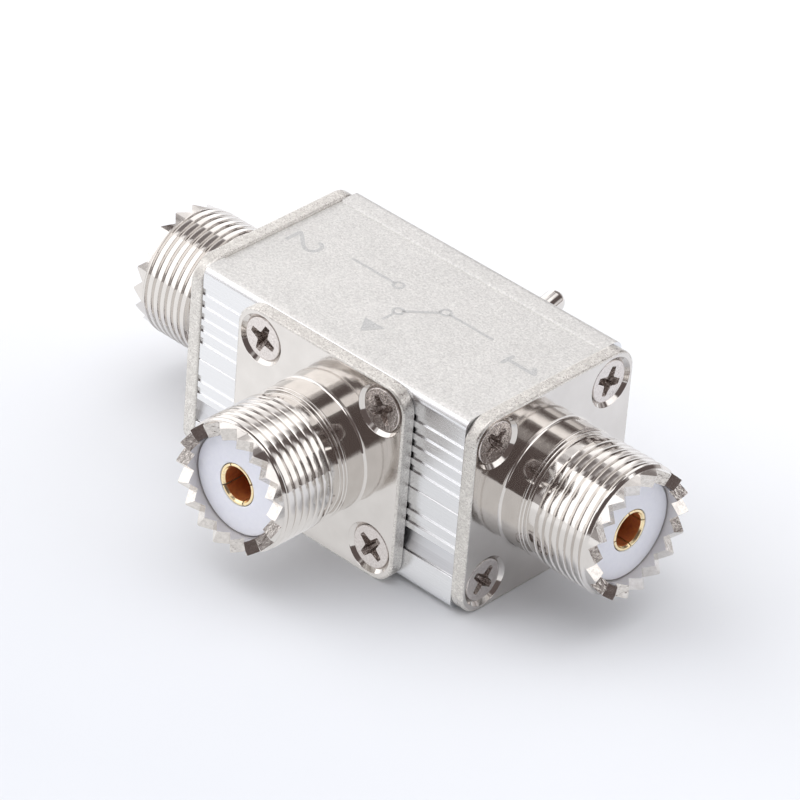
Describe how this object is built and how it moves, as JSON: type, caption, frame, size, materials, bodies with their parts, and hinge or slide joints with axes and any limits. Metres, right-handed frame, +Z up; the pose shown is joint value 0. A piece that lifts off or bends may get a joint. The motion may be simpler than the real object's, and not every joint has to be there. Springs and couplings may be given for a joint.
{
  "type": "coaxial antenna switch",
  "caption": "Small coaxial switch: split ribbed aluminium housing with flanged UHF receptacles on both ends and the front, and a bat-handle toggle at the back.",
  "frame": {"origin": "on the surface the switch stands on, straight below the crossing of the three connector axes, which are 12.7 mm up", "axes": "+X out of port 1 and along the housing, -Y out of the common port, +Y along the toggle, +Z up"},
  "size_m": [0.0712, 0.0566, 0.0254],
  "materials": {
    "housing_aluminium": "fine blasted and clear anodised",
    "nickel_plate": "bright nickel plate over brass",
    "gold_contact": "gold plate",
    "white_insulator": "smooth white PTFE",
    "screw_steel": "nickel-plated steel",
    "toggle_nickel": "bright nickel plate over brass",
    "frame_steel": "plated sheet steel",
    "case_plastic": "moulded black plastic",
    "plunger_plastic": "moulded natural nylon",
    "spring_steel": "drawn spring wire",
    "silver_contact": "silver-plated strip",
    "tinned_wire": "tinned copper wire"
  },
  "bodies": {
    "housing": {"port_1_shell": "nickel_plate", "port_1_insulator": "white_insulator", "port_1_contact": "gold_contact", "port_1_screws": "screw_steel", "port_2_shell": "nickel_plate", "port_2_insulator": "white_insulator", "port_2_contact": "gold_contact", "port_2_screws": "screw_steel", "common_port_shell": "nickel_plate", "common_port_insulator": "white_insulator", "common_port_contact": "gold_contact", "common_port_screws": "screw_steel", "upper_shell": "housing_aluminium", "lower_shell": "housing_aluminium", "toggle_bushing": "toggle_nickel", "toggle_frame": "frame_steel", "toggle_case": "case_plastic", "common_terminal": "silver_contact", "throw_terminal_1": "silver_contact", "throw_terminal_2": "silver_contact", "mounting_nut": "toggle_nickel", "keyed_washer": "toggle_nickel", "lock_washer": "toggle_nickel", "inner_nut": "toggle_nickel", "link_wire_1": "tinned_wire", "link_wire_2": "tinned_wire", "link_wire_common": "tinned_wire"},
    "lever": {"toggle_lever": "toggle_nickel", "plunger_spring": "spring_steel"},
    "plunger": {"plunger": "plunger_plastic"},
    "rocker": {"rocker_contact": "silver_contact"}
  },
  "joints": [
    {"name": "lever_throw", "type": "hinge", "parent": "housing", "child": "lever", "pos_m": [0, 0.015, 0.0127], "axis": [0, 0, 1], "range_deg": [-22, 0]},
    {"name": "plunger_slide", "type": "slide", "parent": "lever", "child": "plunger", "axis": [-0.1908, 0.9816, 0], "range_m": [0, 0.0007], "stiffness_N_per_m": 500, "springref_m": -0.0008, "deforming": ["plunger_spring"]},
    {"name": "rocker_tilt", "type": "hinge", "parent": "housing", "child": "rocker", "pos_m": [0, 0.0013, 0.0127], "axis": [0, 0, 1], "range_deg": [0, 16]}
  ],
  "couplings": [
    {"joint": "rocker_tilt", "follows": "lever_throw", "ratio": -0.7272}
  ]
}
